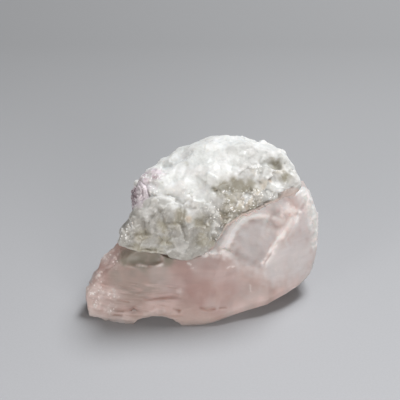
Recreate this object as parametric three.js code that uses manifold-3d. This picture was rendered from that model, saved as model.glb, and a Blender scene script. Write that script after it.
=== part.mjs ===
// Rough morganite crystal: a broken block of pink beryl under a lumpy cap of white albite, with a patch
// of lilac lepidolite mica on the cap's left flank.
// Millimetres, +Z up. The broad broken front face looks towards -Y, and the flat underside lies on Z = 0.
import * as THREE from "three";
import { ConvexGeometry } from "three/addons/geometries/ConvexGeometry.js";
import { ImprovedNoise } from "three/addons/math/ImprovedNoise.js";
import { TessellateModifier } from "three/addons/modifiers/TessellateModifier.js";
import { mergeVertices } from "three/addons/utils/BufferGeometryUtils.js";
import Module from "manifold-3d";

const GAP = 0.4; // clearance between two minerals where they meet
const FAR = 60; // reach of a cutting block past the specimen
const WELD = 1e-4; // vertices closer than this are one vertex

// --- Morganite block: corners of the unbroken form, walked round from the left tip ---
const LEFT_TIP = [
  [-21.8, 2.6, 0.3], [-22.6, 4.6, 4.0], [-22.1, 8.0, 0.8], [-21.4, 8.8, 4.6],
  [-19.8, 6.6, 8.1], [-18.7, 8.2, 10.2], [-16.6, 10.0, 12.6],
];
const FRONT_EDGE = [
  [-17.3, 1.3, -0.3], [-14.5, 0.7, -0.3], [-3.8, 0.3, -0.3], [-1.3, 0.0, -0.3], [2.5, 1.1, 0.6],
  [7.1, 2.7, 1.2], [12.7, 4.5, 1.9], [16.5, 6.9, 2.6], [19.9, 9.4, 3.4], [21.3, 11.2, 3.9],
];
const FRONT_BEVEL = [[-1.2, 0.3, 1.2], [2.6, 1.0, 1.9], [7.2, 2.4, 2.6], [12.8, 4.4, 3.4], [16.6, 6.8, 4.1]];
const FRONT_TOP = [
  [-15.2, 6.4, 11.6], [-8.0, 5.4, 11.6], [-1.9, 5.7, 12.8], [3.8, 6.6, 15.2], [7.3, 9.0, 20.6],
  [11.5, 11.0, 21.8], [15.7, 13.6, 22.4],
];
const RIGHT_RIM = [
  [22.5, 13.4, 7.2], [22.8, 14.9, 11.0], [22.8, 16.0, 13.6], [21.7, 16.6, 16.2],
  [20.6, 17.2, 18.7], [20.6, 18.4, 21.2], [19.0, 19.2, 22.6],
];
const BACK = [
  [-19.6, 11.5, 0.6], [-16.0, 14.0, 9.4], [-13.0, 20.5, 0.6], [-9.0, 22.5, 12.5],
  [-3.0, 26.0, 0.8], [1.0, 27.5, 13.0], [7.0, 28.0, 1.2], [9.5, 28.6, 14.5],
  [15.5, 25.5, 2.0], [17.5, 25.0, 17.0], [20.5, 19.0, 4.0], [21.6, 19.8, 13.0], [19.6, 22.0, 19.6],
];
const UNDERSIDE = [
  [-16.0, 8.0, -0.6], [-9.0, 18.0, -0.6], [1.0, 23.0, -0.6], [10.5, 22.0, -0.6], [13.5, 15.0, -0.6], [10.5, 8.0, -0.6],
];
const CRYSTAL_GRAIN = { edge: 2.6, size: 5.5, depth: 0.3, seed: 11 };

// --- Terraces broken into the front face. Outlines are [along, up] on a flat at the given place and slope ---
const STEP_FACE = { at: [10.1, 6.9, 10.4], normal: [0.4, -0.76, 0.51] };
const TERRACES = [
  {
    face: STEP_FACE, // upper right, the wide lower step, open to the upper left
    sink: 0.1,
    riser: 1.1,
    outline: [[-5.4, 3.6], [0.0, 0.0], [1.9, -0.4], [3.8, 1.9], [5.2, 2.9], [7.1, 3.9], [8.4, 5.4], [9.5, 7.0],
      [9.2, 8.6], [7.8, 10.6], [7.0, 16.0], [-8.0, 16.0], [-7.0, 6.0]],
  },
  {
    face: STEP_FACE, // upper right, the step against the cap
    sink: 1.05,
    riser: 0.95,
    outline: [[-7.6, 3.4], [-5.2, 4.1], [-3.0, 6.6], [-0.9, 8.2], [1.8, 8.4], [4.6, 7.9], [5.6, 6.6], [7.1, 6.2],
      [7.9, 8.4], [7.0, 11.0], [6.5, 16.0], [-11.0, 16.0], [-11.0, 4.5]],
  },
  {
    face: { at: [-9.4, 2.9, 4.7], normal: [0.03, -0.96, 0.29] }, // long flake scar, lower left
    sink: 0.1,
    riser: 0.16,
    outline: [[-5.2, 0.3], [-2.0, -0.2], [1.5, 0.1], [4.6, 0.4], [5.0, 2.6], [1.6, 3.1], [-3.8, 3.2], [-5.6, 1.6]],
  },
  {
    face: { at: [-14.6, 2.3, 2.5], normal: [-0.12, -0.95, 0.29] }, // short flake scar by the left tip
    sink: 0.1,
    riser: 0.16,
    outline: [[-3.2, 0.2], [-0.6, -0.2], [2.2, 0.1], [3.2, 0.9], [2.4, 2.2], [-0.8, 2.7], [-3.0, 1.8]],
  },
];

// --- Breaks in the lower part of the block ---
const HOLLOWS_IN_CRYSTAL = [
  { at: [-12.0, 5.0, 12.5], half: [4.9, 2.0, 2.4] }, // glassy hollow under the cap's left end
  { at: [-8.6, -0.6, -0.2], half: [4.8, 7.0, 1.9] }, // arch under the front edge
  { at: [-21.8, 0.6, -0.8], half: [3.9, 6.5, 1.3] }, // the left tip stands clear of the table
  { at: [-4.0, 29.5, -1.0], half: [7.5, 6.0, 3.6] }, // chip low on the back
  { at: [-17.8, 0.6, -0.2], half: [0.5, 1.5, 1.5] }, // notch between the tip and the block
  { at: [-16.7, 1.9, 2.4], half: [0.9, 0.6, 0.5] }, // small pits along the front
  { at: [-4.6, 1.0, 3.1], half: [0.5, 0.5, 0.4] },
  { at: [1.6, 1.2, 3.3], half: [1.3, 0.5, 0.35] },
];
// --- Contact of the two minerals: height above the table along X, falling towards the back ---
const CONTACT_LINE = [
  [-17, 14.0], [-12, 14.0], [-9.6, 13.4], [-7, 12.4], [-2, 12.2], [0.2, 12.9], [3.3, 15.1], [5.2, 18.5],
  [7.3, 20.0], [11.5, 20.5], [12.8, 21.3], [15.7, 21.9], [19.0, 21.4],
];
const CONTACT = { backDrop: 0.17, frontY: 9, rough: 0.35, size: 4.2, cells: [30, 12] };

// --- Albite cap: rounded lumps joined smoothly, then hollows taken out. Centre and half sizes ---
const LUMPS = [
  { at: [5.0, 19.4, 16.4], half: [13.2, 12.0, 12.5] }, // main dome
  { at: [-3.2, 17.4, 16.3], half: [8.6, 9.6, 10.2] }, // left shoulder
  { at: [-8.3, 15.6, 19.6], half: [4.6, 5.0, 6.1] }, // left flank, where the mica sits
  { at: [-1.0, 20.5, 19.2], half: [5.2, 7.5, 8.0] }, // saddle between shoulder and dome
  { at: [12.6, 18.8, 20.2], half: [5.6, 7.0, 7.4] }, // right end
  { at: [-10.6, 9.4, 14.2], half: [5.4, 4.4, 5.8] }, // front left foot
  { at: [-8.0, 9.3, 19.0], half: [4.9, 3.4, 3.7] }, // rolled lip over the foot
  { at: [-1.2, 8.9, 15.0], half: [5.0, 3.6, 5.8] }, // front middle foot
  { at: [-3.6, 7.0, 13.4], half: [3.6, 2.2, 3.6] }, // lowest front lump
  { at: [2.4, 9.2, 17.2], half: [2.4, 2.4, 4.4] }, // ridge beside the stepped break
  { at: [9.4, 12.8, 20.8], half: [5.2, 3.2, 3.4] }, // sugary bank under the hollow
  { at: [13.5, 12.8, 23.6], half: [3.0, 1.6, 1.4] }, // finger
  { at: [16.3, 15.4, 23.4], half: [2.2, 2.6, 2.4] }, // knob at the right end
  { at: [12.4, 21.4, 15.0], half: [6.5, 8.0, 7.5] }, // rear right
  { at: [-6.0, 21.4, 13.5], half: [7.5, 6.5, 7.0] }, // rear left
];
const HOLLOWS_IN_CAP = [
  { at: [6.4, 8.8, 25.0], half: [4.4, 2.4, 1.9] }, // long hollow over the sugary bank
  { at: [13.2, 16.4, 27.9], half: [2.2, 1.4, 2.0] }, // pit in the right end
  { at: [-0.6, 4.6, 17.6], half: [2.0, 1.6, 1.5] },
  { at: [-4.4, 5.8, 20.4], half: [1.7, 1.9, 2.2] },
  { at: [-0.2, 5.8, 21.4], half: [2.2, 1.9, 1.9] },
  { at: [-11.2, 4.2, 17.8], half: [2.2, 1.3, 1.4] },
  { at: [-7.0, 4.7, 15.7], half: [1.1, 1.3, 2.1] },
  { at: [15.4, 12.4, 25.4], half: [1.9, 1.5, 0.9] }, // notch between finger and knob
];
const LUMP_BLEND = 1.2;
const HOLLOW_BLEND = 0.5;
const CAP_SHAPE = { centre: [1, 16.5, 14.5], reach: [20, 15, 14], detail: 15 };

// --- Lepidolite: a low mound of six-sided mica plates seated in the cap's left flank ---
const MICA = {
  toward: [-0.69, -0.28, 0.46], // direction of the seat from the cap's centre, as a share of its reach
  half: [2.7, 3.6, 1.1], // along the flank, up the flank, out of it
  sunk: 0.2,
  plate: { radius: 1.4, thickness: 1.2 },
  spread: 0.5, // how far out the ring of plates lies, as a share of half
  turns: [0.3, 1.5, 2.6, 3.9, 5.2],
};

const noise = new ImprovedNoise();
const wasm = await Module();
wasm.setup();

// ---------------------------------------------------------------- helpers

function solidFrom(geometry) {
  const bare = geometry.clone();
  for (const name of ["normal", "uv"]) bare.deleteAttribute(name);
  const welded = mergeVertices(bare, WELD);
  return new wasm.Manifold(
    new wasm.Mesh({
      numProp: 3,
      vertProperties: new Float32Array(welded.attributes.position.array),
      triVerts: new Uint32Array(welded.index.array),
    }),
  );
}

function geometryFrom(solid) {
  const mesh = solid.getMesh();
  const geometry = new THREE.BufferGeometry();
  geometry.setAttribute("position", new THREE.BufferAttribute(new Float32Array(mesh.vertProperties), 3));
  geometry.setIndex(new THREE.BufferAttribute(new Uint32Array(mesh.triVerts), 1));
  geometry.computeVertexNormals();
  return geometry;
}

// Moves every vertex by what move(point) does to it.
function bend(geometry, move) {
  const at = geometry.attributes.position;
  const point = new THREE.Vector3();
  for (let i = 0; i < at.count; i++) {
    move(point.fromBufferAttribute(at, i));
    at.setXYZ(i, point.x, point.y, point.z);
  }
  return geometry;
}

// Smooth noise of one place, from -1 to 1, in bumps of about the given size.
function bumps(p, size, seed) {
  return noise.noise(p.x / size + seed, p.y / size + seed * 1.7, p.z / size + seed * 2.3);
}

// Shakes a geometry's surface as broken mineral is: every vertex drifts with the noise round it.
function roughen(geometry, { size, depth, seed }) {
  return bend(geometry, (p) => {
    const drift = new THREE.Vector3(bumps(p, size, seed), bumps(p, size, seed + 31), bumps(p, size, seed + 67));
    p.addScaledVector(drift, depth);
  });
}

// The same form in triangles no wider than edge.
function fine(geometry, edge) {
  return new TessellateModifier(edge, 12).modify(geometry);
}

// Turns and moves a geometry so that its +Z looks along normal and its +X stays level.
function setOnFace(geometry, at, normal) {
  const out = new THREE.Vector3(...normal).normalize();
  const along = new THREE.Vector3(-out.y, out.x, 0).normalize();
  const up = new THREE.Vector3().crossVectors(out, along);
  return geometry.applyMatrix4(new THREE.Matrix4().makeBasis(along, up, out).setPosition(...at));
}

// Height at x on a line of [x, height] points.
function heightOn(line, x) {
  const next = line.findIndex(([lineX]) => lineX > x);
  if (next === 0) return line[0][1];
  if (next < 0) return line.at(-1)[1];
  const [[x0, z0], [x1, z1]] = [line[next - 1], line[next]];
  return z0 + ((z1 - z0) * (x - x0)) / (x1 - x0);
}

// ---------------------------------------------------------------- the contact

function contactHeight(x, y) {
  const drop = Math.max(0, y - CONTACT.frontY) * CONTACT.backDrop;
  const ripple = CONTACT.rough * bumps(new THREE.Vector3(x, y, 0), CONTACT.size, 5);
  return heightOn(CONTACT_LINE, x) - drop + ripple;
}

// Everything above the contact, its lower face lifted by lift.
function aboveContact(lift) {
  const block = new THREE.BoxGeometry(54, 42, FAR, ...CONTACT.cells, 1).translate(0, 14, 0);
  return solidFrom(
    bend(block, (p) => {
      p.z = p.z < 0 ? contactHeight(p.x, p.y) + lift : FAR;
    }),
  );
}

// ---------------------------------------------------------------- morganite

function crystalBlock() {
  const corners = [LEFT_TIP, FRONT_EDGE, FRONT_BEVEL, FRONT_TOP, RIGHT_RIM, BACK, UNDERSIDE].flat();
  const hull = new ConvexGeometry(corners.map((corner) => new THREE.Vector3(...corner)));
  return solidFrom(roughen(fine(hull, CRYSTAL_GRAIN.edge), CRYSTAL_GRAIN));
}

// A block that leaves one terrace of the stepped break, with a slanting riser round it.
function terraceCutter({ face, sink, riser, outline }) {
  const shape = new THREE.Shape(outline.map(([along, up]) => new THREE.Vector2(along, up)));
  const block = new THREE.ExtrudeGeometry(shape, {
    depth: 8,
    bevelEnabled: true,
    bevelThickness: riser,
    bevelSize: riser,
    bevelSegments: 1,
  });
  block.translate(0, 0, riser - sink);
  const cutter = setOnFace(fine(block, 2.0), face.at, face.normal);
  return solidFrom(roughen(cutter, { size: 2.6, depth: 0.22, seed: 23 + sink }));
}

function hollowCutter({ at, half }) {
  const detail = half[0] > 2 ? 4 : 1;
  const hollow = new THREE.IcosahedronGeometry(1, detail).scale(...half).translate(...at);
  return solidFrom(roughen(hollow, { size: 3.0, depth: 0.35, seed: 53 }));
}

function tableCut(solid) {
  const below = new THREE.BoxGeometry(2 * FAR, 2 * FAR, FAR).translate(0, 0, -FAR / 2);
  return solid.subtract(solidFrom(below));
}

function makeMorganite() {
  const cutters = [
    ...TERRACES.map(terraceCutter),
    ...HOLLOWS_IN_CRYSTAL.map(hollowCutter),
    aboveContact(0),
  ];
  return tableCut(cutters.reduce((solid, cutter) => solid.subtract(cutter), crystalBlock()));
}

// ---------------------------------------------------------------- albite

// Below 0 inside an ellipsoid, about the distance to its skin outside.
function ellipsoidField(p, { at, half }) {
  const scaled = Math.hypot((p.x - at[0]) / half[0], (p.y - at[1]) / half[1], (p.z - at[2]) / half[2]);
  return (scaled - 1) * Math.min(...half);
}

function smoothMin(a, b, blend) {
  const h = Math.max(0, 1 - Math.abs(a - b) / blend);
  return Math.min(a, b) - (h * h * blend) / 4;
}

function capField(p) {
  const lumps = LUMPS.reduce((joined, lump) => smoothMin(joined, ellipsoidField(p, lump), LUMP_BLEND), Infinity);
  const rough = lumps - 0.75 * bumps(p, 4.4, 3) - 0.4 * bumps(p, 2.1, 17);
  return HOLLOWS_IN_CAP.reduce((left, hollow) => -smoothMin(-left, ellipsoidField(p, hollow), HOLLOW_BLEND), rough);
}

// Takes a direction on the unit sphere to the outermost place where the field turns inside.
function capSkin(p) {
  const step = 0.1;
  const centre = new THREE.Vector3(...CAP_SHAPE.centre);
  const ray = p.clone().multiply(new THREE.Vector3(...CAP_SHAPE.reach));
  let r = ray.length() * 1.25;
  ray.normalize();
  while (r > 1 && capField(p.copy(centre).addScaledVector(ray, r)) > 0) r -= step;
  return p.copy(centre).addScaledVector(ray, r + step / 2);
}

function makeAlbite() {
  const form = bend(new THREE.IcosahedronGeometry(1, CAP_SHAPE.detail), capSkin);
  return solidFrom(form).intersect(aboveContact(GAP)).subtract(makeMica(GAP));
}

// ---------------------------------------------------------------- lepidolite

// Where the mica sits on the cap's skin, and which way the skin faces there.
function micaSeat() {
  const at = capSkin(new THREE.Vector3(...MICA.toward).normalize());
  const slope = (axis) => capField(at.clone().addScaledVector(axis, 2)) - capField(at.clone().addScaledVector(axis, -2));
  const normal = ["X", "Y", "Z"].map((_, i) => slope(new THREE.Vector3().setComponent(i, 1)));
  return { at: at.toArray(), normal };
}

// The rounded mass under the plates.
function micaMound(grow) {
  const [along, up, out] = MICA.half.map((half) => half + grow);
  const mound = new THREE.IcosahedronGeometry(1, 3).scale(along, up, out).translate(0, 0, -MICA.sunk);
  return roughen(mound, { size: 3.2, depth: 0.3, seed: 71 });
}

// One mica plate: six-sided, leaning outwards on the mound.
function micaPlate(spread, turn, grow) {
  const { radius, thickness } = MICA.plate;
  const plate = new THREE.CylinderGeometry(radius + grow, radius + grow, thickness + 2 * grow, 6);
  plate.rotateX(Math.PI / 2).rotateZ(turn);
  plate.rotateY(0.5 * spread * Math.cos(turn)).rotateX(-0.5 * spread * Math.sin(turn));
  const [along, up, out] = MICA.half;
  const lift = out * Math.sqrt(1 - spread * spread) - MICA.sunk + 0.25 - thickness / 2;
  return plate.translate(spread * along * Math.cos(turn), spread * up * Math.sin(turn), lift);
}

// The whole patch, grown all round by grow.
function makeMica(grow) {
  const plates = MICA.turns.map((turn) => micaPlate(MICA.spread, turn, grow));
  const { at, normal } = micaSeat();
  const pieces = [micaMound(grow), micaPlate(0, 0.2, grow), ...plates];
  return pieces.map((piece) => solidFrom(setOnFace(piece, at, normal))).reduce((mica, piece) => mica.add(piece));
}

// ---------------------------------------------------------------- the specimen

const finishes = {
  morganite: { color: 0xdcb3aa, roughness: 0.3, metalness: 0 },
  albite: { color: 0xe9e9e4, roughness: 0.7, metalness: 0 },
  lepidolite: { color: 0x8f6f8a, roughness: 0.45, metalness: 0 },
};

const specimen = new THREE.Group();
function place(name, solid, finish) {
  const mesh = new THREE.Mesh(geometryFrom(solid), new THREE.MeshStandardMaterial(finish));
  mesh.name = name;
  specimen.add(mesh);
}

place("morganite_crystal", makeMorganite(), finishes.morganite);
place("albite_cap", makeAlbite(), finishes.albite);
place("lepidolite_patch", makeMica(0), finishes.lepidolite);

// The origin goes to the middle of the footprint, on the table.
const middle = new THREE.Box3().setFromObject(specimen).getCenter(new THREE.Vector3());
for (const mesh of specimen.children) mesh.geometry.translate(-middle.x, -middle.y, 0);

export default specimen;
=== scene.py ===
import math

import bmesh
import bpy
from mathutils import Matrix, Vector, noise
from mathutils.geometry import intersect_point_line


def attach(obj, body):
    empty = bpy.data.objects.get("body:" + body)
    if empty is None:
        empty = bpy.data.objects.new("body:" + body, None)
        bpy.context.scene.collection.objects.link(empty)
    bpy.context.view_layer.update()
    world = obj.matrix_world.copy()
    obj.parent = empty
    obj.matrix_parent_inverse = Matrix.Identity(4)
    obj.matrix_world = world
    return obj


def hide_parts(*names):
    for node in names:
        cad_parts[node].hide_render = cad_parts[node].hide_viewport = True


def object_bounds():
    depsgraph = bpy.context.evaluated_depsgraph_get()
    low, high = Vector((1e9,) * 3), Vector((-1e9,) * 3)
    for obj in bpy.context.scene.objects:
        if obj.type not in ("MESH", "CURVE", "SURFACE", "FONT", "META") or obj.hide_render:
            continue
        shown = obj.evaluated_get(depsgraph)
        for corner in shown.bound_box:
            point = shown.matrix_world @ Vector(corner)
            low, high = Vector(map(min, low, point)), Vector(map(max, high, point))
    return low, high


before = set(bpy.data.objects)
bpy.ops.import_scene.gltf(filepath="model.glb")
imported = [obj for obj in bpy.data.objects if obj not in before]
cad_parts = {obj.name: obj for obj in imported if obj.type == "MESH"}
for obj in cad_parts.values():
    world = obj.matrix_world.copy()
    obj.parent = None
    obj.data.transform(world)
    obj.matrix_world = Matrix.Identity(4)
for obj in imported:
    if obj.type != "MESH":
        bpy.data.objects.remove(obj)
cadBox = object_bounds()
print("frame loaded")

mm = 0.001
noise.seed_set(3)  # noise_vector takes its offsets from the clock where no seed is set


# Camera, floor and light

view = {
    "target": (-0.00058, -0.00186, 0.0199),
    "distance": 0.230,
    "elevation": 35.0,  # degrees above the table
    "lens": 108.06,
    "sensor": 36,
    "clipStart": 0.01,
}

lamps = {
    "key": {"at": (0.17, 0.225, 0.46), "size": 0.22, "power": 3.22, "colour": (0.985, 0.99, 1.0)},
    "fill": {"at": (0.20, -0.42, 0.07), "size": 0.38, "power": 1.85, "colour": (1.0, 0.965, 0.935)},
    "side": {"at": (-0.36, -0.32, 0.07), "size": 0.22, "power": 1.15, "colour": (1.0, 0.965, 0.935)},
}

room = {
    "lampTarget": (0, 0, 0.012),  # all the lamps point at the middle of the specimen
    "sky": (1.0, 0.95, 0.92),
    "skyStrength": 0.09,
    "floorReach": 1.6,
    "floorFront": (0.51, 0.52, 0.545),
    "floorBack": (0.262, 0.267, 0.275),
    "floorSweep": (-0.07, 0.10),  # y where the front colour ends, and y where the back one begins; the darker back is painted fall-off of the light
    "floorRoughness": 0.8,
    "speck": (0.3, 0.3, 0.3),
    "speckScale": 2600,
    "speckAmount": 0.12,
}


def makeCamera():
    camera = bpy.data.objects.new("camera", bpy.data.cameras.new("camera"))
    bpy.context.scene.collection.objects.link(camera)
    tilt = math.radians(view["elevation"])
    back = Vector((0, -math.cos(tilt), math.sin(tilt)))
    camera.location = Vector(view["target"]) + back * view["distance"]
    camera.rotation_euler = (-back).to_track_quat("-Z", "Y").to_euler()
    camera.data.lens = view["lens"]
    camera.data.sensor_width = view["sensor"]
    camera.data.clip_start = view["clipStart"]
    bpy.context.scene.camera = camera


def makeLights():
    for name, lamp in lamps.items():
        data = bpy.data.lights.new(name, "AREA")
        data.shape = "DISK"
        data.size = lamp["size"]
        data.energy = lamp["power"]
        data.color = lamp["colour"]
        light = bpy.data.objects.new(name, data)
        bpy.context.scene.collection.objects.link(light)
        light.location = lamp["at"]
        beam = Vector(room["lampTarget"]) - light.location
        light.rotation_euler = beam.to_track_quat("-Z", "Y").to_euler()
    world = bpy.data.worlds.new("studio")
    bpy.context.scene.world = world
    world.use_nodes = True
    sky = world.node_tree.nodes["Background"].inputs
    sky["Color"].default_value = (*room["sky"], 1)
    sky["Strength"].default_value = room["skyStrength"]
    bpy.context.scene.view_settings.view_transform = "Standard"


# Node helpers

def newMaterial(name):
    material = bpy.data.materials.new(name)
    material.use_nodes = True
    tree = material.node_tree
    place = tree.nodes.new("ShaderNodeTexCoord").outputs["Object"]
    return material, tree, tree.nodes["Principled BSDF"], place


def fill(tree, socket, value):
    if isinstance(value, bpy.types.NodeSocket):
        tree.links.new(value, socket)
    elif isinstance(value, tuple) and socket.type == "RGBA":
        socket.default_value = (*value, 1)
    else:
        socket.default_value = value


def setFinish(shader, values):  # the even numbers of a finish, set on the shader itself
    for name, value in values.items():
        shader.inputs[name].default_value = value


def grain(tree, place, scale, detail=4.0, rough=0.55, distort=0.0, stretch=(1, 1, 1)):
    mapping = tree.nodes.new("ShaderNodeMapping")
    mapping.inputs["Scale"].default_value = stretch
    tree.links.new(place, mapping.inputs["Vector"])
    node = tree.nodes.new("ShaderNodeTexNoise")
    for name, value in (("Scale", scale), ("Detail", detail), ("Roughness", rough), ("Distortion", distort)):
        node.inputs[name].default_value = value
    tree.links.new(mapping.outputs["Vector"], node.inputs["Vector"])
    return node.outputs["Fac"]


def cells(tree, place, scale, output="Distance"):
    node = tree.nodes.new("ShaderNodeTexVoronoi")
    node.inputs["Scale"].default_value = scale
    tree.links.new(place, node.inputs["Vector"])
    return node.outputs[output]


def remap(tree, value, low, high, toLow=0.0, toHigh=1.0):
    node = tree.nodes.new("ShaderNodeMapRange")
    for name, number in (("From Min", low), ("From Max", high), ("To Min", toLow), ("To Max", toHigh)):
        node.inputs[name].default_value = number
    tree.links.new(value, node.inputs["Value"])
    return node.outputs["Result"]


def spots(tree, place, scale, low, high, most=1.0):  # picks out the cells whose random tone is high
    return remap(tree, cells(tree, place, scale, "Color"), low, high, 0.0, most)


def maths(tree, kind, first, second):
    node = tree.nodes.new("ShaderNodeMath")
    node.operation = kind
    fill(tree, node.inputs[0], first)
    fill(tree, node.inputs[1], second)
    return node.outputs["Value"]


def blend(tree, factor, first, second):
    node = tree.nodes.new("ShaderNodeMix")
    node.data_type = "RGBA"
    fill(tree, node.inputs["Factor"], factor)
    fill(tree, node.inputs[6], first)
    fill(tree, node.inputs[7], second)
    return node.outputs[2]


def painted(tree, name, output="Fac"):
    node = tree.nodes.new("ShaderNodeAttribute")
    node.attribute_name = name
    return node.outputs[output]


def scaled(tree, colour, amount):  # the colour made lighter or darker by a number
    node = tree.nodes.new("ShaderNodeVectorMath")
    node.operation = "SCALE"
    tree.links.new(colour, node.inputs[0])
    tree.links.new(amount, node.inputs["Scale"])
    return node.outputs["Vector"]


def bumpFrom(tree, shader, height, strength, distance):
    node = tree.nodes.new("ShaderNodeBump")
    node.inputs["Strength"].default_value = strength
    node.inputs["Distance"].default_value = distance
    tree.links.new(height, node.inputs["Height"])
    tree.links.new(node.outputs["Normal"], shader.inputs["Normal"])


# Mesh helpers. Places on the specimen are in millimetres

sideEase = 0.5  # mm before the sides of the CAD box in which the relief slows down
meltRounds = 40  # extra smoothing where an edge of the solid is worn away
zoneCore, zoneEdge, zoneReach = 0.25, 1.2, 1.7  # shares of a zone's radius: full, gone, too far to work out


def smoothStep(low, high, value):
    t = min(1.0, max(0.0, (value - low) / (high - low)))
    return t * t * (3 - 2 * t)


def mixed(first, second, amount):
    return tuple(a + (b - a) * amount for a, b in zip(first, second))


def wave(p, size, seed):
    return noise.noise(Vector((p.x / size + seed, p.y / size - seed, p.z / size + 2 * seed)))


# Broken grains: the lift of their tilted faces, the closeness to a seam and each grain's own shade
def grains(p, size, seed):
    bent = p + 0.22 * size * noise.noise_vector(p * (1.3 / size) + Vector((seed, 0, seed)))
    place = bent / size + Vector((seed, seed, seed))
    distances, centres = noise.voronoi(place)
    tilt = noise.cell_vector(centres[0] * 9.7) - Vector((0.5, 0.5, 0.5))
    seam = math.exp(-(((distances[1] - distances[0]) / 0.10) ** 2))
    return (place - centres[0]).dot(tilt) * size, seam, noise.cell(centres[0] * 5.3)


# Nearly flat facets that meet on ridges: their height and each facet's own shade
def facets(p, size, seed):
    bent = p + 0.30 * size * noise.noise_vector(p * (1.1 / size) + Vector((seed, seed, 0)))
    place = bent / size + Vector((seed, 0, seed))
    distances, centres = noise.voronoi(place)
    lowest, facet = 9.0, centres[0]
    for distance, centre in zip(distances, centres):
        tilt = noise.cell_vector(centre * 9.7) - Vector((0.5, 0.5, 0.5))
        level = (place - centre).dot(tilt) * 1.2 + 0.35 * distance * distance
        if level < lowest:
            lowest, facet = level, centre
    return (lowest + 0.12) * size, noise.cell(facet * 5.3)


# A stroke is (width, height, *path): a ridge, or a groove where the height is below zero
def strokeTable(strokes):
    table = []
    for width, height, *path in strokes:
        path = [Vector(place) for place in path]
        middle = sum(path, Vector()) / len(path)
        reach = max((place - middle).length for place in path) + 2.5 * width  # it fades out before this
        table.append((path, width, height, middle, reach))
    return table


def strokesAt(p, table):
    height = 0.0
    for path, width, lift, middle, reach in table:
        if (p - middle).length > reach:
            continue
        nearest = (p - path[0]).length
        for start, end in zip(path, path[1:]):
            point, along = intersect_point_line(p, start, end)
            point = start if along < 0 else end if along > 1 else point
            nearest = min(nearest, (p - point).length)
        height += lift * math.exp(-((nearest / width) ** 2))
    return height


# A zone is (x, y, z, radius). 1 in its middle, fading to 0 with a ragged edge
def zoneAt(p, zones, ragged=0.35):
    amount = 0.0
    for x, y, z, radius in zones:
        distance = (p - Vector((x, y, z))).length / radius
        if distance < zoneReach:
            distance += ragged * (wave(p, 0.9, 3.1) + wave(p, 2.3, 5.7))
            amount = max(amount, 1 - smoothStep(zoneCore, zoneEdge, distance))
    return amount


def refinedCopy(node, name, voxel):  # the node's own form, in small even faces
    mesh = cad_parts[node].data.copy()
    mesh.materials.clear()
    form = bmesh.new()
    form.from_mesh(mesh)
    bmesh.ops.remove_doubles(form, verts=form.verts, dist=1e-6)
    form.to_mesh(mesh)
    form.free()
    piece = bpy.data.objects.new(name, mesh)
    bpy.context.scene.collection.objects.link(piece)
    remesh = piece.modifiers.new("even faces", "REMESH")
    remesh.mode = "VOXEL"
    remesh.voxel_size = voxel * mm
    even = bpy.data.meshes.new_from_object(piece.evaluated_get(bpy.context.evaluated_depsgraph_get()))
    piece.modifiers.clear()
    piece.data = even
    even.name = name
    return piece


def soften(form, verts, rounds):
    for _ in range(rounds):
        bmesh.ops.smooth_vert(
            form, verts=verts, factor=0.5, use_axis_x=True, use_axis_y=True, use_axis_z=True
        )


def easedInside(value, low, high, ease):  # slows a coordinate down before it reaches its limits
    if value > high - ease:
        return high - ease * math.exp((high - ease - value) / ease)
    if value < low + ease:
        return low + ease * math.exp((value - low - ease) / ease)
    return value


# relief(place, normal) gives each vertex its lift in mm and its marks, which are returned for the colours
def shapeOver(piece, rounds, relief, melted=()):
    form = bmesh.new()
    form.from_mesh(piece.data)
    soften(form, form.verts, rounds)
    if melted:
        worn = [vert for vert in form.verts if zoneAt(vert.co / mm, melted, 0) > 0.3]
        soften(form, worn, meltRounds)
    form.normal_update()
    shaped = [relief(vert.co / mm, vert.normal) for vert in form.verts]
    low, high = cadBox
    for vert, (lift, _) in zip(form.verts, shaped):
        vert.co += vert.normal * lift * mm
        vert.co.x = easedInside(vert.co.x, low[0], high[0], sideEase * mm)
        vert.co.y = easedInside(vert.co.y, low[1], high[1], sideEase * mm)
        vert.co.z = max(vert.co.z, 0.0)  # nothing sinks into the table
    form.to_mesh(piece.data)
    form.free()
    return [marks for _, marks in shaped]


# -1 in hollows, 0 on flats, 1 on edges and crests that stand out by the sharp size in mm
def crests(piece, rounds, sharp):
    form = bmesh.new()
    form.from_mesh(piece.data)
    form.normal_update()
    before = [(vert.co.copy(), vert.normal.copy()) for vert in form.verts]
    soften(form, form.verts, rounds)
    rise = [(old - vert.co).dot(normal) / mm / sharp for (old, normal), vert in zip(before, form.verts)]
    form.free()
    return [max(-1.0, min(1.0, value)) for value in rise]


# Lays the piece's named colours over its base colour, each by an amount from 0 to 1
def layered(piece, base, layers):
    colour = piece[base]
    for name, amount in layers:
        colour = mixed(colour, piece[name], amount)
    return colour


def paint(piece, name, values):  # one number or one colour for each vertex
    if isinstance(values[0], tuple):
        layer = piece.data.attributes.new(name, "FLOAT_VECTOR", "POINT")
        layer.data.foreach_set("vector", [part for colour in values for part in colour])
    else:
        layer = piece.data.attributes.new(name, "FLOAT", "POINT")
        layer.data.foreach_set("value", values)


def finishPiece(piece, node, material):
    piece.data.materials.append(material)
    piece.data.polygons.foreach_set("use_smooth", [True] * len(piece.data.polygons))
    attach(piece, "root")
    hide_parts(node)
    print(piece.name, len(piece.data.polygons), "faces")


# Morganite: a milky pink block with a stepped break, flake scars and frosted edges

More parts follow.
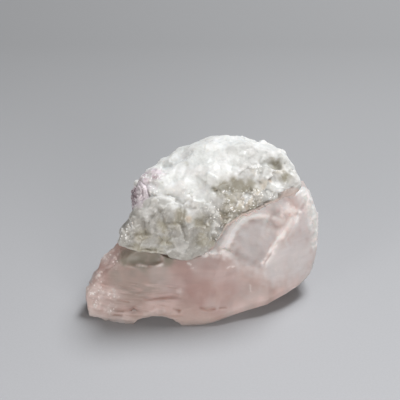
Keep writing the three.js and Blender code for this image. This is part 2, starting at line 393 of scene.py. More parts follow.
morganite = {
    "voxel": 0.22,  # mm, the size of its faces
    "rounds": 2,  # of smoothing before the relief
    "crests": (6, 0.10),  # rounds of smoothing, and mm by which a full crest stands out
    "relief": {  # mm for waves, shares of a grain's own lift for the others
        "swell": 0.09, "ripple": 0.02, "layers": 0.05, "grooves": 0.14, "breaks": 0.26,
        "coarse": 0.38, "fine": 0.30, "seams": 0.05,
    },
    "layerPitch": 4.2,  # thin layers for each mm, seen edge on
    "pink": (0.545, 0.41, 0.375),
    "rose": (0.48, 0.325, 0.30),
    "rim": (0.80, 0.80, 0.775),
    "smoky": (0.43, 0.355, 0.32),
    "pale": (0.77, 0.735, 0.735),
    "glow": (0.76, 0.58, 0.55),
    "frost": (0.93, 0.88, 0.87),
    "glint": (0.98, 0.93, 0.91),
    "oliveDark": (0.27, 0.25, 0.20),
    "shade": (0.40, 0.26, 0.22),
    "roughness": (0.32, 0.44),
    "frostRoughness": 0.2,  # added on frosted breaks
    "transmission": 0.25,
    "tint": (0.95, 0.72, 0.67),
    "density": 30.0,
    "cloud": {"scale": 260, "detail": 5, "rough": 0.65, "distort": 1.2, "stretch": (0.35, 1.0, 1.6)},
    "cloudTone": (0.92, 1.06),
    "smearScale": 420,
    "glints": (3800, 0.78, 0.84, 0.75),  # scale, low, high and most
    "pitting": {"scale": 1500, "detail": 5, "rough": 0.6, "distort": 0.4},
    "bump": (0.15, 0.0003),
    "finish": {
        "IOR": 1.58,
        "Specular IOR Level": 0.23,
        "Subsurface Weight": 0.8,
        "Subsurface Radius": (0.0060, 0.0046, 0.0042),
        "Subsurface Scale": 1.0,
        "Coat Weight": 0.08,
        "Coat Roughness": 0.22,
    },
}

stepSlope = Vector((0.4, -0.76, 0.51)).normalized()  # the way the stepped face looks
stepZone = [(10.0, -5.0, 14.0, 11.5)]
sparkleZones = [  # hackly glints up the left tip, and below the upper step
    (-17.7, -8.3, 10.6, 2.2), (-19.4, -9.4, 7.4, 1.6), (-20.8, -11.0, 5.0, 2.2), (-17.3, -12.2, 5.2, 1.2),
    (-20.6, -12.4, 3.0, 1.2), (-16.2, -8.2, 12.2, 1.2), (-17.8, -13.0, 2.4, 1.3), (3.4, -9.3, 13.4, 1.3),
    (1.0, -9.9, 13.2, 1.0), (5.2, -9.3, 13.2, 0.8),
]
frostZones = [  # crushed corners at the top of the right step and the foot of the upper one
    (16.1, -1.1, 17.0, 1.5), (17.2, -1.5, 16.3, 1.5), (17.9, -2.3, 15.9, 1.2), (15.4, -1.6, 16.4, 1.0),
    (16.8, -1.2, 17.0, 2.2), (0.6, -9.8, 13.2, 1.0), (2.1, -9.7, 13.3, 1.0), (3.6, -9.4, 13.2, 1.1),
]
capShadeLiftZones = [  # painted light round both steps, in the frost's colour, lifting the shade under the cap's lip
    (3.2, -8.7, 14.1, 2.4), (2.1, -9.7, 13.4, 1.6), (5.2, -6.2, 16.2, 2.4), (7.6, -4.3, 17.4, 2.6),
    (10.4, -2.8, 17.8, 3.0), (13.4, -1.2, 17.4, 3.0), (14.4, -1.8, 15.8, 2.2), (5.3, -9.5, 12.8, 1.4),
    (12.2, -3.2, 15.7, 2.8), (14.0, -2.2, 15.6, 2.4),
]
rimZones = [  # bruised white edge down the right end
    (19.2, 1.2, 19.9, 2.0), (20.2, 0.4, 18.4, 1.8), (21.2, 0.0, 16.2, 2.0), (22.0, -0.6, 13.8, 2.0),
    (22.3, -1.0, 11.4, 1.7), (22.0, -1.8, 9.6, 1.4),
]
recessZones = [  # dark olive over the break under the cap's left foot
    (-15.0, -8.4, 11.8, 1.6), (-14.9, -9.4, 11.0, 1.5), (-13.9, -9.3, 11.7, 2.6), (-11.6, -9.4, 11.6, 2.6),
    (-9.4, -9.4, 11.8, 2.2), (-6.6, -10.2, 12.0, 1.5),
]
roseZones = [  # deepest pink, in the middle of the front and at the left tip
    (-4.0, -11.9, 9.1, 5.4), (1.6, -11.6, 9.2, 5.4), (-0.5, -13.0, 6.4, 4.4), (4.4, -12.0, 7.6, 4.2),
    (2.8, -12.6, 7.6, 3.8), (3.6, -14.0, 3.6, 2.6), (-18.4, -9.0, 8.6, 3.2), (-16.9, -8.3, 11.0, 2.2),
]
smokyZones = [  # greyer and clearer, on the left of the front
    (-12.5, -10.6, 9.4, 4.4), (-9.0, -10.8, 9.6, 4.0), (-13.6, -11.8, 6.6, 4.0), (-10.4, -12.0, 6.4, 3.0),
    (-16.4, -10.8, 8.0, 3.0),
]
paleZones = [  # milky right half and the edges round its top, with painted light over the upper level where the cap's shade falls
    (18.2, -5.6, 8.6, 7.0), (20.4, -1.6, 14.0, 5.5), (10.2, -6.4, 13.6, 7.4), (14.6, -8.2, 9.0, 5.6),
    (19.0, 0.4, 19.4, 3.6), (21.4, 0.0, 16.0, 3.6), (21.8, -1.0, 12.0, 3.6), (10.8, -2.4, 17.8, 3.6),
    (14.4, -0.6, 18.8, 3.4), (7.4, -4.6, 17.2, 2.4),
]
glowZones = [  # lighter along the bottom edge, where light comes through
    (7.1, -13.2, 2.4, 1.8), (11.4, -12.0, 2.8, 1.6), (15.0, -10.2, 3.3, 2.2), (18.0, -8.2, 3.6, 2.2),
    (-9.2, -13.8, 4.2, 2.6), (-6.6, -13.9, 4.0, 2.2), (-20.4, -13.2, 1.4, 2.0),
    (-15.2, -14.4, 1.2, 2.2),
]
upperStep = [(3.7, -9.1, 13.3), (4.7, -7.8, 14.7), (5.5, -6.6, 15.9), (6.5, -5.3, 16.8), (7.7, -4.1, 17.3)]
upperStepEnd = [(7.9, -3.9, 17.3), (9.4, -3.2, 17.3), (10.8, -2.7, 17.2), (12.0, -2.4, 16.8)]
rightStep = [(13.0, -6.8, 11.6), (14.0, -5.8, 12.6), (15.2, -4.3, 13.7)]
rightStepEnd = [(15.2, -4.3, 13.7), (16.6, -2.8, 15.1), (17.2, -1.8, 16.2)]
leftSplinter = [(11.4, -8.9, 10.0), (12.4, -7.6, 11.1), (13.2, -6.6, 11.9)]
rightSplinter = [(12.1, -8.7, 9.8), (13.2, -7.6, 10.9), (14.2, -6.2, 12.2)]
rimChip = [(18.4, -1.9, 17.4), (19.0, -1.6, 16.6)]
ledgeBands = strokeTable([  # white frosted bands, where height is the amount of frost
    (0.66, 3.4, *upperStep),
    (0.72, 3.2, *upperStepEnd),
    (0.66, 0.85, *rightStep),
    (0.95, 0.8, *rightStepEnd),
    (0.28, 1.2, *leftSplinter),
    (0.26, 1.1, *rightSplinter),
    (0.26, 0.8, (-12.6, -10.1, 10.5), (-11.0, -10.2, 10.4), (-8.6, -10.7, 10.9), (-7.8, -10.7, 11.2)),
    (0.22, 0.9, *rimChip),
    (0.15, 0.8, (-3.0, -10.8, 11.5), (-2.4, -10.9, 11.3)),  # flecks
    (0.16, 0.6, (-2.3, -11.1, 10.7), (-1.8, -11.3, 10.6)),
    (0.15, 0.7, (4.6, -11.2, 10.7), (5.9, -10.8, 10.9)),
    (0.14, 0.5, (9.0, -11.4, 6.6), (9.2, -11.6, 5.4)),
    (0.14, 0.5, (13.9, -8.7, 8.4), (14.3, -8.6, 8.1)),
])
crystalStrokes = strokeTable([
    (1.00, 0.70, (13.6, -1.9, 16.1), (14.6, -1.9, 15.7)),  # fills the corner between the steps
    (0.80, 0.50, (3.6, -9.6, 13.0), (4.8, -9.5, 12.7)),  # shoulder below the upper step
    (0.60, 0.50, *upperStep),
    (0.55, 0.50, *upperStepEnd),
    (0.50, 0.30, *rightStep),
    (0.50, 0.30, *rightStepEnd),
    (0.22, 0.20, *leftSplinter),
    (0.22, 0.20, *rightSplinter),
    (0.30, 0.20, (-14.6, -10.2, 10.4), (-12.2, -10.3, 10.1), (-10.2, -10.4, 10.2), (-8.0, -10.5, 10.9)),
    (0.90, 0.24, (18.9, 1.4, 19.9), (19.6, 0.3, 19.2)),  # lumps down the right rim
    (0.80, 0.20, (20.0, 0.4, 18.4), (20.9, 0.2, 16.6), (22.0, -0.2, 14.4)),
    (0.80, 0.16, (21.2, -1.2, 13.6), (22.0, -0.9, 12.0), (22.3, -1.2, 10.4)),
    (0.60, 0.30, (-10.6, -14.3, 2.2), (-9.4, -14.3, 2.9)),  # lumps over the arch in the foot
    (0.50, 0.24, (-7.0, -14.6, 2.7), (-6.2, -14.7, 2.4)),
    (0.24, 0.22, (-15.9, -7.6, 12.3), (-15.8, -8.7, 11.7), (-15.7, -9.8, 10.6)),  # left edge of the recess
    (0.25, 0.20, *rimChip),
])
crystalSlits = strokeTable([  # cut in, so here a height is a depth
    (0.16, 0.24, (11.7, -8.8, 9.9), (12.8, -7.6, 11.0), (13.7, -6.4, 12.0), (14.5, -5.6, 12.8)),
    (0.15, 0.20, (12.7, -8.5, 9.7), (13.9, -7.4, 10.8), (14.9, -6.0, 12.1)),  # both beside the splinters
    (0.24, 0.24, (-17.6, -13.4, 2.6), (-16.4, -13.7, 2.2), (-15.4, -13.9, 2.3)),  # by the left tip
    (0.22, 0.20, (-17.2, -14.0, 1.4), (-15.6, -14.2, 1.5)),
    (0.20, 0.18, (-16.4, -12.9, 4.0), (-14.2, -13.2, 3.9)),
    (0.22, 0.22, (-5.6, -14.3, 3.3), (-4.4, -14.5, 2.9)),  # along the foot
    (0.20, 0.22, (-0.4, -14.5, 3.6), (0.8, -14.6, 3.2), (2.2, -14.5, 3.3)),
    (0.18, 0.16, (3.2, -14.3, 3.4), (4.4, -14.1, 3.2)),
])
wornZones = [  # edges of the solid that the crystal doesn't show
    (-4.8, -12.3, 7.6, 2.0), (-4.8, -12.6, 6.0, 1.8), (-7.2, -12.1, 8.2, 1.6), (-9.6, -11.9, 8.1, 1.6),
    (-11.9, -13.4, 3.6, 1.8), (6.2, -9.9, 12.3, 1.5), (8.0, -9.6, 11.4, 1.6), (9.8, -9.3, 10.8, 1.5),
    (11.2, -9.0, 10.1, 1.2), (16.4, -0.9, 19.3, 2.6), (17.9, -1.4, 18.0, 1.6),
    (13.4, -1.9, 16.0, 2.6), (14.8, -2.2, 15.4, 2.2), (13.4, -3.4, 15.2, 1.8), (5.8, -8.6, 13.4, 1.8),
    (8.4, -5.4, 15.6, 1.7), (10.6, -4.2, 15.9, 1.7),
]


def crystalRelief(p, normal):
    lift = morganite["relief"]
    sparkle = zoneAt(p, sparkleZones)
    rim = zoneAt(p, rimZones)
    frost = zoneAt(p, frostZones)
    step = zoneAt(p, stepZone, 0)
    riser = step * smoothStep(0.95, 0.80, normal.dot(stepSlope)) if step else 0.0
    height = lift["swell"] * wave(p, 3.6, 1.3) + lift["ripple"] * wave(p, 0.9, 4.4)
    facingFront = smoothStep(0.2, 0.6, -normal.y)
    striped = facingFront * smoothStep(0.0, -7.0, p.x) * smoothStep(9.5, 6.5, p.z)
    streak = 0.0
    if striped > 0:  # thin layers low on the left of the front
        level = p.z + 0.06 * p.x + 0.25 * wave(p, 6.0, 2.2)
        streak = striped * noise.noise(Vector((p.x * 0.38, 3.3, level * morganite["layerPitch"])))
        height += lift["layers"] * streak
    if normal.y > -0.1:  # growth grooves and hackly breaks on the sides and back
        grooves = lift["grooves"] * noise.noise(Vector((p.z * 0.08, p.x * 0.9, p.y * 0.9)))
        height += grooves + lift["breaks"] * facets(p, 4.5, 6.0)[0]
    rough = max(sparkle, 0.7 * rim, 0.35 * riser, 0.6 * frost)
    shade = 0.5
    if rough > 0:
        coarse = grains(p, 1.3, 2.0)[0]
        fine, seam, shade = grains(p, 0.55, 8.0)
        height += rough * (lift["coarse"] * coarse + lift["fine"] * fine - lift["seams"] * seam)
    slit = strokesAt(p, crystalSlits)
    bands = strokesAt(p + 0.22 * noise.noise_vector(1.8 * p), ledgeBands)  # shifted about, for ragged edges
    back = 0.5 * smoothStep(-2.0, 8.0, p.y)
    marks = {
        "riser": max(0.15 * riser, min(1.0, bands)),
        "sparkle": sparkle,
        "rim": rim,
        "frost": frost,
        "streak": streak,
        "shade": shade,
        "cut": min(1.0, 5 * slit),
        "shadeLift": zoneAt(p, capShadeLiftZones),
        "rose": zoneAt(p, roseZones, 0.2),
        "smoky": zoneAt(p, smokyZones, 0.2),
        "pale": max(zoneAt(p, paleZones, 0.2), back),
        "glow": zoneAt(p, glowZones, 0.2),
        "oliveDark": zoneAt(p, recessZones, 0.25),
        "cloud": wave(p, 4.5, 9.0),
        "wisp": wave(p, 1.4, 6.6),
    }
    return height + strokesAt(p, crystalStrokes) - slit, marks


def crystalColour(marks, crest):  # the vertex's colour, its frost and its share of glints
    wispy = 0.85 + 0.5 * marks["wisp"]
    colour = layered(morganite, "pink", (
        ("rose", min(1.0, marks["rose"] * wispy)),
        ("smoky", min(1.0, marks["smoky"] * wispy)),
        ("pale", 0.2 * smoothStep(-0.15, 0.45, marks["cloud"])),
        # milky tone, and painted light over the upper level under the cap
        ("pale", 0.9 * marks["pale"]),
        ("rim", 0.75 * marks["rim"]),
        ("glow", 0.6 * marks["glow"]),
        ("glow", 0.4 * smoothStep(0.10, 0.50, marks["streak"])),
        ("shade", 0.4 * smoothStep(0.15, 0.55, -marks["streak"])),
        ("oliveDark", 0.85 * marks["oliveDark"]),
        ("shade", 0.7 * marks["cut"]),
        ("shade", 0.2 * smoothStep(0.25, 1.0, -crest)),
    ))
    frost = max(
        0.95 * marks["riser"],
        0.8 * marks["frost"],
        0.75 * marks["rim"] * smoothStep(0.1, 0.6, marks["shade"]),
        0.2 * marks["sparkle"],
        0.05 * max(0.0, crest),
    )
    # real frost, and painted light in the frost's colour where the cap's shade falls
    colour = mixed(colour, morganite["frost"], max(frost, 0.7 * marks["shadeLift"]))
    bright = 0.5 * marks["sparkle"] * smoothStep(0.70, 0.85, marks["shade"])
    glints = max(marks["sparkle"], marks["frost"], 0.4 * marks["rim"])
    return mixed(colour, morganite["glint"], bright), min(1.0, frost + bright), glints


def makeMorganiteMaterial():
    material, tree, shader, place = newMaterial("milkyPinkBeryl")
    frost = painted(tree, "frost")
    cloud = remap(tree, grain(tree, place, **morganite["cloud"]), 0.3, 0.7, *morganite["cloudTone"])
    body = scaled(tree, painted(tree, "tint", "Color"), cloud)
    glints = maths(tree, "MULTIPLY", spots(tree, place, *morganite["glints"]), painted(tree, "sparkle"))
    fill(tree, shader.inputs["Base Color"], blend(tree, glints, body, morganite["glint"]))
    smear = remap(tree, grain(tree, place, morganite["smearScale"]), 0.3, 0.7, *morganite["roughness"])
    dull = maths(tree, "MULTIPLY", frost, morganite["frostRoughness"])
    fill(tree, shader.inputs["Roughness"], maths(tree, "ADD", smear, dull))
    clear = remap(tree, frost, 0.0, 1.0, morganite["transmission"], 0.0)  # frosted breaks aren't see-through
    fill(tree, shader.inputs["Transmission Weight"], clear)
    setFinish(shader, morganite["finish"])
    bumpFrom(tree, shader, grain(tree, place, **morganite["pitting"]), *morganite["bump"])
    depth = tree.nodes.new("ShaderNodeVolumeAbsorption")
    depth.inputs["Color"].default_value = (*morganite["tint"], 1)
    depth.inputs["Density"].default_value = morganite["density"]
    tree.links.new(depth.outputs["Volume"], tree.nodes["Material Output"].inputs["Volume"])
    return material


def makeMorganite():
    piece = refinedCopy("morganite_crystal", "morganite", morganite["voxel"])
    marks = shapeOver(piece, morganite["rounds"], crystalRelief, wornZones)
    edges = crests(piece, *morganite["crests"])
    looks = [crystalColour(mark, crest) for mark, crest in zip(marks, edges)]
    for name, values in zip(("tint", "frost", "sparkle"), zip(*looks)):
        paint(piece, name, values)
    finishPiece(piece, "morganite_crystal", makeMorganiteMaterial())


# Albite: a lumpy white mass, smooth over the dome, blocky at the foot and sugary in its hollows

albite = {
    "voxel": 0.22,
    "rounds": 4,
    "crests": (8, 0.20),
    "relief": {
        "swell": 0.24, "lumps": 0.16, "pits": 0.05, "sink": 0.09, "micaEdge": 0.4,
        "block": 0.40, "chip": 0.24, "grit": 0.07, "domeBlock": 0.04, "domeChip": 0.02,
        "crumbChip": 0.3, "crumbGrit": 0.5,
    },
    "seam": 0.36,  # mm by which the underside is let down onto the crystal
    "white": (0.755, 0.76, 0.75),
    "cool": (0.70, 0.715, 0.70),
    "grey": (0.335, 0.325, 0.30),
    "cream": (0.60, 0.555, 0.48),
    "rust": (0.60, 0.505, 0.415),
    "oliveDark": (0.33, 0.31, 0.25),
    "lilac": (0.54, 0.45, 0.50),
    "shade": (0.30, 0.27, 0.23),
    "under": (0.52, 0.43, 0.39),
    "glint": (0.97, 0.97, 0.95),
    "roughness": (0.42, 0.62),
    "tone": (0.92, 1.03),
    "fine": {"scale": 1300, "detail": 4, "rough": 0.7},
    "cloud": {"scale": 240, "detail": 5, "rough": 0.6, "distort": 0.5},
    "glints": (4000, 0.78, 0.86),
    "shine": (2200, 0.80, 0.86, 0.32),  # scattered glossy grains
    "sugarScale": 1700,
    "bump": (0.25, 0.0004),
    "finish": {
        "IOR": 1.53,
        "Subsurface Weight": 0.5,
        "Subsurface Radius": (0.0024, 0.0022, 0.0020),
        "Subsurface Scale": 1.0,
    },
}

domeZones = [  # the smooth top
    (3.0, 1.0, 28.5, 10.0), (-3.5, -0.5, 26.8, 5.5), (10.0, 4.5, 28.0, 6.5), (0.0, 8.0, 27.0, 10.0),
    (17.0, 3.0, 26.0, 4.0),
]
crumbZones = [  # the crumbling hollow on the right
    (5.2, -6.2, 23.2, 2.6), (7.8, -6.4, 22.8, 2.6), (9.8, -5.6, 23.2, 2.2), (5.4, -7.6, 21.6, 1.8),
    (8.6, -6.8, 21.6, 1.8), (10.3, -6.0, 21.6, 1.8), (12.6, -4.8, 22.6, 1.6), (7.0, -7.8, 20.8, 1.2),
]
sugarZones = [  # rows of small bright grains
    (1.6, -7.2, 22.0, 1.8), (2.4, -8.0, 20.8, 1.8), (3.2, -8.4, 19.0, 1.6), (3.0, -8.7, 17.4, 1.8),
    (2.4, -9.2, 15.8, 1.4), (-14.6, -8.8, 16.9, 2.2), (-13.6, -8.4, 19.0, 1.6), (-3.0, -4.6, 23.9, 1.6),
    (-9.6, -1.2, 24.8, 2.4), (-10.6, 0.4, 22.8, 2.4), (-9.4, -3.8, 23.6, 2.0), (10.0, -1.2, 26.4, 1.4),
]
oliveDarkZones = [  # olive, where the grains are clear, and painted shade darkening the hollows
    (-4.4, -8.3, 20.4, 1.7), (-5.2, -8.8, 19.2, 1.5), (-0.6, -8.9, 19.8, 1.9), (0.6, -9.0, 18.8, 1.6),
    (0.2, -10.0, 16.2, 1.9), (1.6, -9.7, 15.4, 1.5), (-11.4, -10.2, 17.4, 1.9), (-7.4, -9.8, 19.4, 1.5),
    (3.4, -5.0, 24.6, 2.0), (6.4, -4.6, 24.8, 2.2), (9.0, -4.4, 24.8, 1.5), (13.9, 0.7, 26.3, 1.7),
    (5.0, -6.4, 22.8, 1.4), (6.8, -7.6, 21.4, 1.4), (-7.0, -9.8, 15.9, 2.0), (15.6, -1.6, 25.2, 1.4),
    (4.2, -7.8, 20.8, 1.2), (5.2, -8.3, 19.2, 2.0), (9.2, -6.4, 21.6, 1.4),
    (-12.4, -10.3, 15.0, 1.7), (-9.9, -10.2, 14.2, 1.7), (-8.0, -10.0, 13.3, 1.5),
]
creamZones = [  # faint stains
    (6.4, -6.2, 23.0, 3.2), (9.2, -5.8, 22.8, 2.4), (3.7, -8.1, 20.4, 1.3), (3.0, -8.6, 17.8, 1.4),
    (11.4, -3.4, 24.6, 1.4), (14.4, -0.6, 26.0, 1.6), (-2.8, -8.7, 20.4, 1.0), (-12.2, -10.0, 17.4, 1.6),
    (10.2, -1.8, 26.4, 1.4),
]
rustZones = [(3.8, -8.2, 20.4, 0.9), (-2.8, -8.8, 20.3, 0.8), (8.4, -6.9, 21.5, 1.1), (12.8, -2.9, 25.2, 0.6)]
lilacZones = [  # blush round the mica
    (-10.4, -0.6, 24.2, 2.8), (-10.6, -2.6, 23.6, 2.6), (-9.0, -1.4, 25.6, 2.0), (-12.2, -4.4, 20.6, 2.2),
    (-12.7, -0.6, 19.0, 2.4), (-11.8, -5.8, 22.0, 1.6),
]
dullZones = [  # greyer patches over the right end, the hollow and the foot
    (8.4, 3.2, 28.6, 2.6), (8.4, -0.4, 27.8, 3.0), (11.2, 2.4, 27.4, 3.0), (-8.8, -7.2, 22.6, 3.2),
    (5.5, 2.0, 28.7, 2.0), (-9.4, -7.2, 22.4, 2.4), (15.0, 0.6, 26.0, 4.4), (16.4, -2.6, 24.2, 3.4),
    (11.5, -1.6, 26.0, 3.8), (8.4, -3.4, 25.8, 3.4), (6.4, -5.6, 23.8, 3.6), (3.4, -6.4, 22.8, 2.8),
    (10.0, -5.6, 22.4, 3.2), (-12.6, -9.6, 17.0, 3.6), (-9.0, -9.6, 18.0, 3.4), (-5.0, -9.4, 18.4, 3.4),
    (-0.4, -9.6, 17.6, 3.4), (-10.5, -10.0, 16.4, 3.0), (14.0, -1.9, 25.5, 2.6), (11.1, -2.9, 25.7, 2.4),
    (8.3, -0.5, 27.7, 2.4), (4.8, -8.0, 20.2, 2.4), (7.4, -7.2, 21.4, 2.4),
]
micaEdge = [(-12.0, -3.2, 20.4, 4.4)]  # where the cap thickens round the mica
capStrokes = strokeTable([
    (  # ridge over the left lumps
        0.80, 0.50, (-10.4, -6.6, 22.8), (-8.6, -6.2, 22.9), (-6.8, -6.6, 22.7), (-5.4, -7.8, 21.6),
        (-5.0, -8.9, 19.4),
    ),
    (0.26, -0.50, (-11.3, -9.0, 20.8), (-11.1, -9.7, 19.4), (-10.8, -10.1, 18.1)),  # crack in the left lumps
    (  # hooked crack above the foot
        0.40, -0.55, (-8.6, -10.0, 17.6), (-7.0, -9.4, 16.0), (-5.6, -10.1, 15.2), (-6.7, -9.6, 14.5),
        (-8.2, -9.9, 14.4),
    ),
    (  # ridge left of the hollow
        0.60, 0.50, (-1.6, -6.4, 22.5), (0.2, -6.8, 22.4), (1.6, -7.6, 21.6), (2.6, -8.3, 19.8),
        (3.0, -8.6, 17.4),
    ),
    (0.55, 0.40, (11.0, -2.6, 25.6), (12.6, -3.2, 24.9), (13.8, -3.8, 24.4), (14.7, -4.1, 24.0)),  # finger
    (0.40, -0.50, (12.0, -4.0, 23.8), (13.4, -4.3, 23.4), (15.0, -4.0, 23.2)),  # groove below it
    (1.20, -0.55, (3.0, -5.1, 24.8), (5.0, -4.7, 24.8), (6.9, -4.6, 24.8), (8.6, -4.9, 24.5)),  # hollow
    (  # undercut below the lip
        1.10, -0.85, (4.9, -8.2, 17.9), (6.3, -8.0, 19.1), (8.1, -7.1, 19.9), (10.4, -6.0, 20.5),
        (11.6, -5.3, 21.3),
    ),
    (1.10, -0.75, (13.0, -4.5, 21.8), (15.2, -3.8, 22.1), (16.6, -3.2, 22.8)),  # its right end
    (0.90, 0.50, (-11.3, -1.0, 24.2), (-11.7, 0.2, 23.4)),  # shoulder above the mica
    (0.80, -0.60, (-14.4, -9.6, 15.0), (-12.8, -10.2, 15.0), (-10.0, -10.2, 13.9), (-7.6, -9.9, 12.8)),
    (0.90, 0.60, (-13.2, -7.2, 19.6), (-13.9, -7.7, 18.7), (-14.7, -8.2, 17.8)),  # left shoulder
    (0.45, -0.40, (4.0, -7.8, 21.0), (5.6, -7.8, 21.2), (7.2, -7.6, 21.2)),  # crack below the hollow
    (0.90, 0.45, (-5.8, -10.3, 14.8), (-4.0, -10.5, 15.2)),  # bluish lump at the foot
    (0.40, -0.16, (-3.3, 0.6, 26.6), (-3.4, -1.2, 26.0), (-4.2, -2.6, 25.4)),  # folds in the dome
    (0.35, -0.12, (-5.0, 0.4, 26.2), (-5.4, -1.4, 25.8)),
    (  # crest round the right end
        0.80, 0.35, (11.5, 8.3, 26.1), (13.3, 6.4, 26.6), (14.8, 4.3, 26.8), (16.0, 2.0, 26.5),
        (16.9, 0.6, 25.6),
    ),
    (1.00, -0.45, (13.0, 1.2, 26.4), (14.2, -0.4, 26.1)),  # stained pit in the right end
    (0.45, 0.40, (11.4, 1.6, 26.8), (10.4, -0.4, 26.8), (9.9, -2.4, 26.0), (9.4, -3.6, 25.3)),  # ribs
    (0.40, 0.35, (12.4, 0.6, 26.6), (11.6, -1.0, 26.4), (11.2, -2.4, 25.7)),
    (0.35, -0.35, (10.8, 0.4, 26.6), (10.6, -1.4, 26.2), (10.4, -3.0, 25.2)),  # groove between the ribs
    (0.45, -0.25, (-1.2, -2.4, 25.8), (0.7, -4.0, 25.2), (2.4, -5.0, 24.8)),  # crack at the dome's edge
    (0.35, -0.35, (-8.1, -8.2, 22.0), (-7.2, -9.0, 21.0), (-7.1, -9.6, 20.0)),
    (0.80, -0.40, (-0.6, -10.2, 17.2), (-0.4, -10.2, 16.0)),  # dip in the foot
    (0.90, 0.35, (-12.9, -8.7, 20.0), (-12.3, -8.9, 19.6)),  # small lumps on the left
    (0.80, 0.35, (-9.9, -9.2, 20.6), (-9.4, -9.4, 20.0)),
    (0.45, -0.30, (-13.4, -9.6, 17.8), (-11.9, -10.2, 18.0), (-10.4, -10.3, 18.4)),  # crack below them
])


def capRelief(p, normal):
    lift = albite["relief"]
    dome = zoneAt(p, domeZones, 0.2)
    sugar = zoneAt(p, sugarZones)
    crumb = zoneAt(p, crumbZones)
    blocky = 1 - 0.85 * dome
    block, blockShade = facets(p, 3.4, 4.0)
    chip, chipShade = facets(p, 1.5, 1.0)
    grit, gritShade = facets(p, 0.8, 5.0)
    height = lift["swell"] * wave(p, 4.2, 7.7)
    height += blocky * (lift["lumps"] * wave(p, 1.7, 2.9) + lift["pits"] * wave(p, 0.8, 1.9))
    blockLift = lift["domeBlock"] + lift["block"] * blocky
    chipLift = lift["domeChip"] + lift["chip"] * blocky + lift["crumbChip"] * crumb
    gritLift = lift["grit"] * blocky + lift["crumbGrit"] * max(crumb, sugar)
    height += blockLift * block + chipLift * chip
    height += gritLift * grit
    height += strokesAt(p, capStrokes) + lift["micaEdge"] * zoneAt(p, micaEdge, 0) - lift["sink"]
    height *= 1 - 0.85 * smoothStep(0.1, 0.6, -normal.z)  # the overhangs stay clear of the crystal
    marks = {
        "dome": dome,
        "sugar": sugar,
        "crumb": crumb,
        "blockShade": blockShade,
        "chipShade": chipShade,
        "gritShade": gritShade,
        "oliveDark": zoneAt(p, oliveDarkZones),
        "cream": zoneAt(p, creamZones),
        "rust": zoneAt(p, rustZones),
        "lilac": zoneAt(p, lilacZones),
        "dull": zoneAt(p, dullZones),
        "cloud": wave(p, 2.6, 9.0),
        "foot": smoothStep(24.0, 20.0, p.z),
        # painted warm shade on the downward faces of the right half
        "under": smoothStep(0.1, 0.5, -normal.z) * smoothStep(-4.0, 4.0, p.x),
        "facingUp": smoothStep(-0.2, 0.3, normal.z),
    }
    return height, marks


def capColour(marks, crest):  # the vertex's colour and its share of glints
    offDome = 1 - marks["dome"]
    calm = 1 - 0.7 * marks["dome"]
    # greyer blocks towards the foot: grey grains, and painted shade darkening the lower front
    greyBlocks = offDome * marks["foot"] * (0.45 + 0.55 * smoothStep(0.7, 0.2, marks["blockShade"]))
    grit = max(marks["sugar"], 0.7 * marks["crumb"], 0.3 * offDome)
    # painted glints on the gritty grains, and a painted highlight along the up-facing crests
    bright = grit * smoothStep(0.60, 0.85, marks["gritShade"])
    bright += 0.6 * calm * marks["facingUp"] * smoothStep(0.3, 1.0, crest)
    colour = layered(albite, "cool", (
        ("white", smoothStep(-0.4, 0.4, marks["cloud"])),
        ("grey", min(1.0, 0.95 * greyBlocks + 0.55 * marks["dull"])),
        ("cream", min(1.0, marks["cream"] * (0.5 + 0.7 * marks["chipShade"]))),
        ("rust", 0.8 * marks["rust"]),
        # olive on the clear grains, and painted shade in the hollows
        ("oliveDark", min(1.0, marks["oliveDark"] * (0.6 + 0.35 * (1 - marks["chipShade"])))),
        ("lilac", min(1.0, marks["lilac"] * (0.8 + 0.5 * marks["gritShade"]))),
        ("shade", 0.5 * calm * smoothStep(0.2, 1.0, -crest)),
        ("glint", min(1.0, 0.45 * bright * (1 - 0.6 * marks["lilac"]))),
        # painted shade under the overhangs
        ("under", marks["under"]),
    ))
    glints = max(marks["sugar"], marks["crumb"], marks["lilac"], 0.08) * (1 - marks["under"])
    return colour, glints


def makeAlbiteMaterial():
    material, tree, shader, place = newMaterial("whiteAlbite")
    fine = grain(tree, place, **albite["fine"])
    body = scaled(tree, painted(tree, "tint", "Color"), remap(tree, fine, 0.3, 0.6, *albite["tone"]))
    glints = maths(tree, "MULTIPLY", spots(tree, place, *albite["glints"]), painted(tree, "sparkle"))
    fill(tree, shader.inputs["Base Color"], blend(tree, glints, body, albite["glint"]))
    dull = remap(tree, grain(tree, place, **albite["cloud"]), 0.3, 0.7, *albite["roughness"])
    shine = spots(tree, place, *albite["shine"])
    fill(tree, shader.inputs["Roughness"], maths(tree, "SUBTRACT", dull, shine))
    setFinish(shader, albite["finish"])
    sugar = blend(tree, 0.5, fine, cells(tree, place, albite["sugarScale"]))
    bumpFrom(tree, shader, sugar, *albite["bump"])
    return material


def makeAlbite():
    piece = refinedCopy("albite_cap", "albite", albite["voxel"])
    marks = shapeOver(piece, albite["rounds"], capRelief)
    edges = crests(piece, *albite["crests"])
    looks = [capColour(mark, crest) for mark, crest in zip(marks, edges)]
    for name, values in zip(("tint", "sparkle"), zip(*looks)):
        paint(piece, name, values)
    normals = [vert.normal.copy() for vert in piece.data.vertices]
    for vert, normal in zip(piece.data.vertices, normals):
        vert.co.z -= albite["seam"] * smoothStep(0.2, 0.75, -normal.z) * mm
    finishPiece(piece, "albite_cap", makeAlbiteMaterial())


# Lepidolite: purple plates, with their pearly sheen painted in

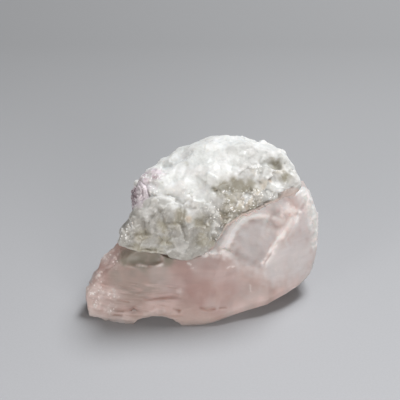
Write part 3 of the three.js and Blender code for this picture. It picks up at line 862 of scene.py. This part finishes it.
lepidolite = {
    "voxel": 0.11,
    "rounds": 1,
    "crests": (4, 0.08),
    "relief": {"plate": 0.5, "flake": 0.5, "sink": 0.05, "edge": 0.25, "brightSide": 0.35},
    "purple": (0.26, 0.20, 0.225),
    "lilac": (0.46, 0.38, 0.42),
    "pearlSheen": (0.80, 0.74, 0.77),
    "roughness": (0.5, 0.2),
    "flakeScale": 1500,
    "toneScale": 2400,
    "tone": (0.65, 1.08),
    "pearlGlints": (3400, 0.66, 0.76, 0.6),
    "bump": (0.3, 0.0003),
    "finish": {"IOR": 1.56, "Coat Weight": 0.3, "Coat Roughness": 0.2},
}


def plateRelief(p, normal):
    lift = lepidolite["relief"]
    plate, shade = facets(p, 1.2, 1.0)
    flake, flakeShade = facets(p, 0.55, 3.0)
    bright = smoothStep(-12.9, -11.6, p.x)  # the side towards the albite is paler, a painted pearly highlight
    edge = lift["edge"] * smoothStep(0.5, 0.9, 1 - abs(normal.x))  # the plates reach the albite around them
    height = lift["plate"] * plate + lift["flake"] * flake - lift["sink"] + edge + lift["brightSide"] * bright
    return height, {"shade": shade, "flakeShade": flakeShade, "bright": bright}


def plateColour(marks, crest):
    pearly = smoothStep(0.55, 0.95, marks["flakeShade"] + 0.25 * marks["bright"])
    return layered(lepidolite, "purple", (
        ("lilac", min(1.0, marks["shade"] + 0.5 * marks["bright"])),
        # painted pearly sheen on random flakes and on the paler side
        ("pearlSheen", max(0.8 * pearly, 0.75 * marks["bright"])),
        # painted shade in the creases between the plates
        ("purple", 0.5 * max(0.0, -crest)),
    ))


def makeLepidoliteMaterial():
    material, tree, shader, place = newMaterial("pearlyMica")
    flakes = cells(tree, place, lepidolite["flakeScale"], "Color")
    tones = cells(tree, place, lepidolite["toneScale"], "Color")
    body = scaled(tree, painted(tree, "tint", "Color"), remap(tree, tones, 0.1, 0.6, *lepidolite["tone"]))
    pearlGlints = spots(tree, place, *lepidolite["pearlGlints"])
    # painted pearly glints on random flakes
    fill(tree, shader.inputs["Base Color"], blend(tree, pearlGlints, body, lepidolite["pearlSheen"]))
    fill(tree, shader.inputs["Roughness"], remap(tree, flakes, 0.2, 0.8, *lepidolite["roughness"]))
    setFinish(shader, lepidolite["finish"])
    bumpFrom(tree, shader, flakes, *lepidolite["bump"])
    return material


def makeLepidolite():
    piece = refinedCopy("lepidolite_patch", "lepidolite", lepidolite["voxel"])
    marks = shapeOver(piece, lepidolite["rounds"], plateRelief)
    edges = crests(piece, *lepidolite["crests"])
    paint(piece, "tint", [plateColour(mark, crest) for mark, crest in zip(marks, edges)])
    finishPiece(piece, "lepidolite_patch", makeLepidoliteMaterial())


def makeFloor():
    form = bmesh.new()
    bmesh.ops.create_grid(form, x_segments=1, y_segments=1, size=room["floorReach"])
    mesh = bpy.data.meshes.new("floor")
    form.to_mesh(mesh)
    form.free()
    floor = bpy.data.objects.new("floor", mesh)
    bpy.context.scene.collection.objects.link(floor)
    material, tree, shader, place = newMaterial("paleFloor")
    apart = tree.nodes.new("ShaderNodeSeparateXYZ")
    tree.links.new(place, apart.inputs["Vector"])
    # painted fall-off of the light: the floor darkens towards the back
    towardsBack = remap(tree, apart.outputs["Y"], *room["floorSweep"])
    sweep = blend(tree, towardsBack, room["floorFront"], room["floorBack"])
    specks = remap(tree, grain(tree, place, room["speckScale"], 2), 0.3, 0.7, 0.0, room["speckAmount"])
    fill(tree, shader.inputs["Base Color"], blend(tree, specks, sweep, room["speck"]))
    shader.inputs["Roughness"].default_value = room["floorRoughness"]
    mesh.materials.append(material)


makeCamera()
makeLights()
makeFloor()
print("stage ready")
makeMorganite()
makeAlbite()
makeLepidolite()
print("pieces ready")
